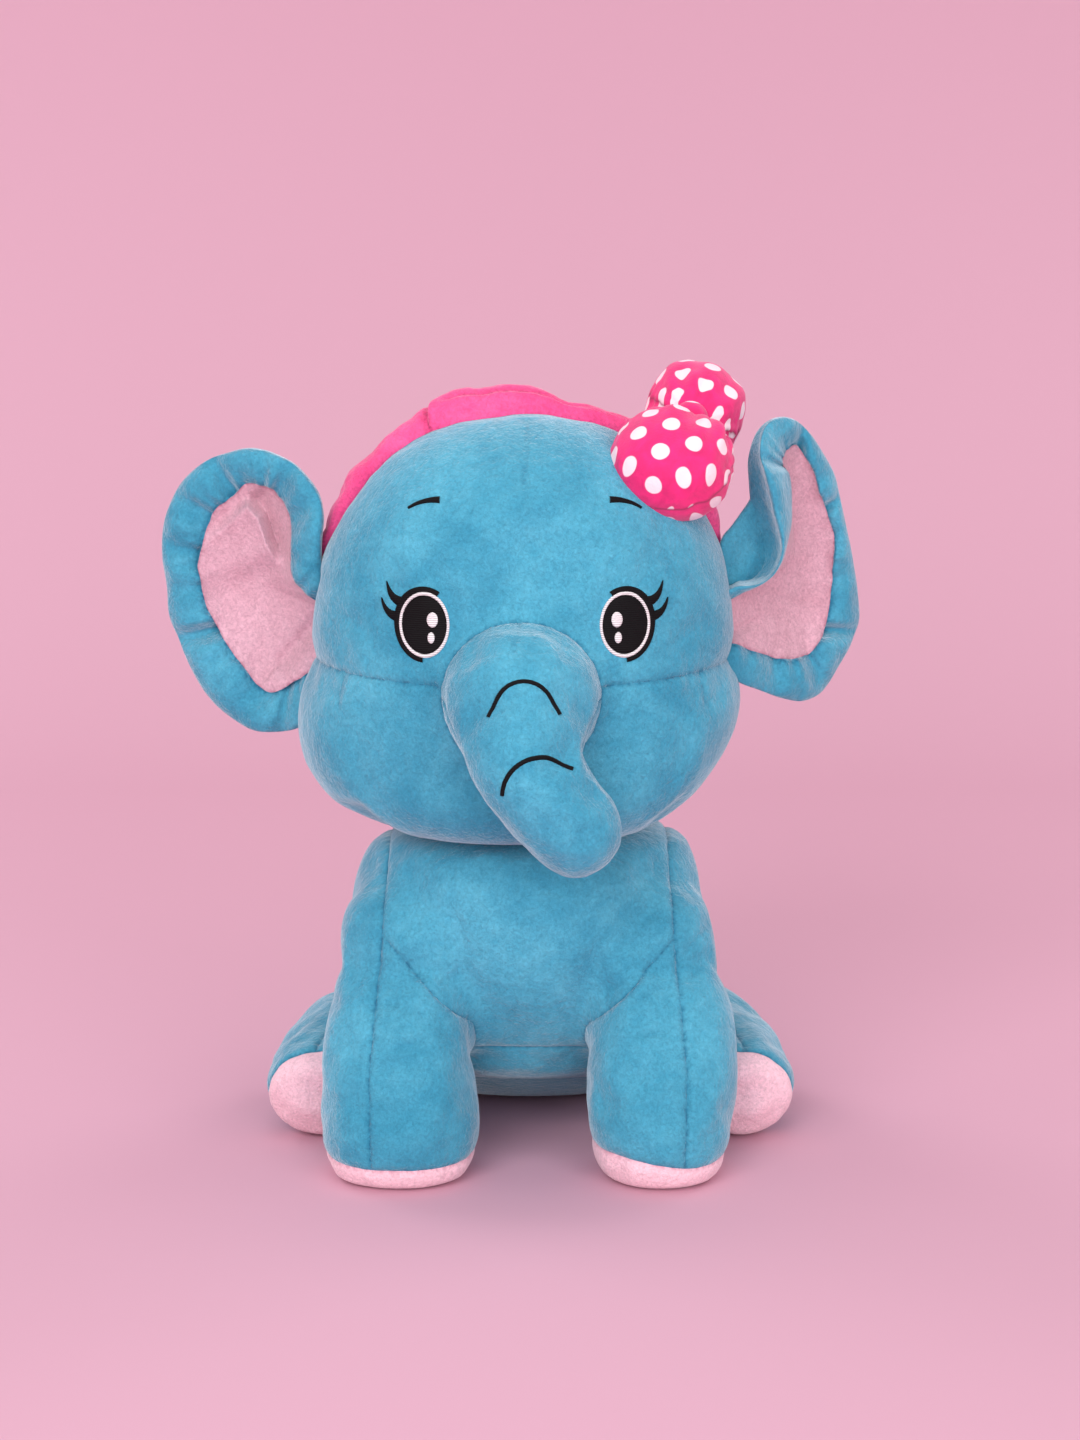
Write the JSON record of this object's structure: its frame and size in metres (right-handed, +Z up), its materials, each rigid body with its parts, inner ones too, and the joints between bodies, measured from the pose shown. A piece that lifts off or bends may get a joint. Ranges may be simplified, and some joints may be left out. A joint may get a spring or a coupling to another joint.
{
  "type": "stuffed elephant",
  "caption": "Sitting plush elephant with a stuffed head, trunk, cupped ears, four legs, embroidered face, headband and dotted bow, with soft sewn joints",
  "frame": {"origin": "middle of the footprint box of the whole toy, on the surface it sits on", "axes": "+Z up, -Y is the way the elephant faces, +X is the elephant's left"},
  "size_m": [0.3699, 0.2828, 0.4],
  "materials": {
    "blue_plush": "short brushed pile",
    "pale_pink_plush": "short brushed pile",
    "hot_pink_plush": "short brushed pile",
    "dotted_satin": "woven, with white dots",
    "black_thread": "satin-stitch embroidery",
    "white_thread": "satin-stitch embroidery",
    "polyester_fibre": "loose fibre stuffing"
  },
  "bodies": {
    "torso": {"chest_panel": "blue_plush", "side_panel_left": "blue_plush", "side_panel_right": "blue_plush", "back_panel": "blue_plush", "seat_panel": "blue_plush", "torso_stuffing": "polyester_fibre"},
    "neck": {"neck_stuffing": "polyester_fibre"},
    "head": {"face_panel": "blue_plush", "cheek_panel": "blue_plush", "head_back_panel": "blue_plush", "head_stuffing": "polyester_fibre", "eye_black_left": "black_thread", "eye_black_right": "black_thread", "eye_white_left": "white_thread", "eye_white_right": "white_thread", "brow_left": "black_thread", "brow_right": "black_thread", "headband_cover": "hot_pink_plush", "headband_wadding": "polyester_fibre"},
    "trunk": {"trunk_front_panel": "blue_plush", "trunk_under_panel": "blue_plush", "trunk_stuffing": "polyester_fibre", "trunk_crease_upper": "black_thread", "trunk_crease_lower": "black_thread"},
    "ear_left": {"ear_back_left": "blue_plush", "ear_lining_left": "pale_pink_plush", "ear_wadding_left": "polyester_fibre"},
    "ear_right": {"ear_back_right": "blue_plush", "ear_lining_right": "pale_pink_plush", "ear_wadding_right": "polyester_fibre"},
    "bow": {"bow_loop_front": "dotted_satin", "bow_loop_rear": "dotted_satin", "bow_knot": "dotted_satin", "bow_stuffing_front": "polyester_fibre", "bow_stuffing_rear": "polyester_fibre"},
    "front_leg_left": {"front_leg_outer_left": "blue_plush", "front_leg_inner_left": "blue_plush", "front_sole_left": "pale_pink_plush", "front_leg_stuffing_left": "polyester_fibre"},
    "front_leg_right": {"front_leg_outer_right": "blue_plush", "front_leg_inner_right": "blue_plush", "front_sole_right": "pale_pink_plush", "front_leg_stuffing_right": "polyester_fibre"},
    "hind_leg_left": {"hind_leg_outer_left": "blue_plush", "hind_leg_inner_left": "blue_plush", "hind_sole_left": "pale_pink_plush", "hind_leg_stuffing_left": "polyester_fibre"},
    "hind_leg_right": {"hind_leg_outer_right": "blue_plush", "hind_leg_inner_right": "blue_plush", "hind_sole_right": "pale_pink_plush", "hind_leg_stuffing_right": "polyester_fibre"},
    "tail": {"tail_cover": "blue_plush", "tail_stuffing": "polyester_fibre"}
  },
  "joints": [
    {"name": "head_turn", "type": "hinge", "parent": "torso", "child": "neck", "pos_m": [0.0074, -0.0064, 0.169], "axis": [0, 0, 1], "range_deg": [-15, 15], "stiffness_Nm_per_rad": 1.5},
    {"name": "head_nod", "type": "hinge", "parent": "neck", "child": "head", "pos_m": [0.0074, -0.0064, 0.169], "axis": [1, 0, 0], "range_deg": [-5, 5], "stiffness_Nm_per_rad": 8},
    {"name": "trunk_lift", "type": "hinge", "parent": "head", "child": "trunk", "pos_m": [0.0034, -0.0864, 0.25], "axis": [-1, 0, 0], "range_deg": [0, 22], "stiffness_Nm_per_rad": 0.5},
    {"name": "ear_flap_left", "type": "hinge", "parent": "head", "child": "ear_left", "pos_m": [0.1124, -0.0054, 0.3], "axis": [0.0995, 0, 0.995], "range_deg": [-20, 15], "stiffness_Nm_per_rad": 0.08},
    {"name": "ear_flap_right", "type": "hinge", "parent": "head", "child": "ear_right", "pos_m": [-0.0996, -0.0064, 0.285], "axis": [0.0995, 0, 0.995], "range_deg": [-15, 20], "stiffness_Nm_per_rad": 0.08},
    {"name": "bow_tilt", "type": "hinge", "parent": "head", "child": "bow", "pos_m": [0.0874, -0.0204, 0.374], "axis": [1, 0, 0], "range_deg": [-6, 0], "stiffness_Nm_per_rad": 0.05},
    {"name": "front_leg_swing_left", "type": "hinge", "parent": "torso", "child": "front_leg_left", "pos_m": [0.0694, -0.0364, 0.112], "axis": [-1, 0, 0], "range_deg": [0, 20], "stiffness_Nm_per_rad": 0.8},
    {"name": "front_leg_swing_right", "type": "hinge", "parent": "torso", "child": "front_leg_right", "pos_m": [-0.0546, -0.0364, 0.112], "axis": [-1, 0, 0], "range_deg": [0, 20], "stiffness_Nm_per_rad": 0.8},
    {"name": "hind_leg_splay_left", "type": "hinge", "parent": "torso", "child": "hind_leg_left", "pos_m": [0.0924, 0.0736, 0.036], "axis": [0, 0, 1], "range_deg": [0, 15], "stiffness_Nm_per_rad": 0.5},
    {"name": "hind_leg_splay_right", "type": "hinge", "parent": "torso", "child": "hind_leg_right", "pos_m": [-0.0776, 0.0736, 0.036], "axis": [0, 0, 1], "range_deg": [-15, 0], "stiffness_Nm_per_rad": 0.5},
    {"name": "tail_wag", "type": "hinge", "parent": "torso", "child": "tail", "pos_m": [0.0074, 0.1186, 0.057], "axis": [0, 0, 1], "range_deg": [-25, 25], "stiffness_Nm_per_rad": 0.01}
  ]
}
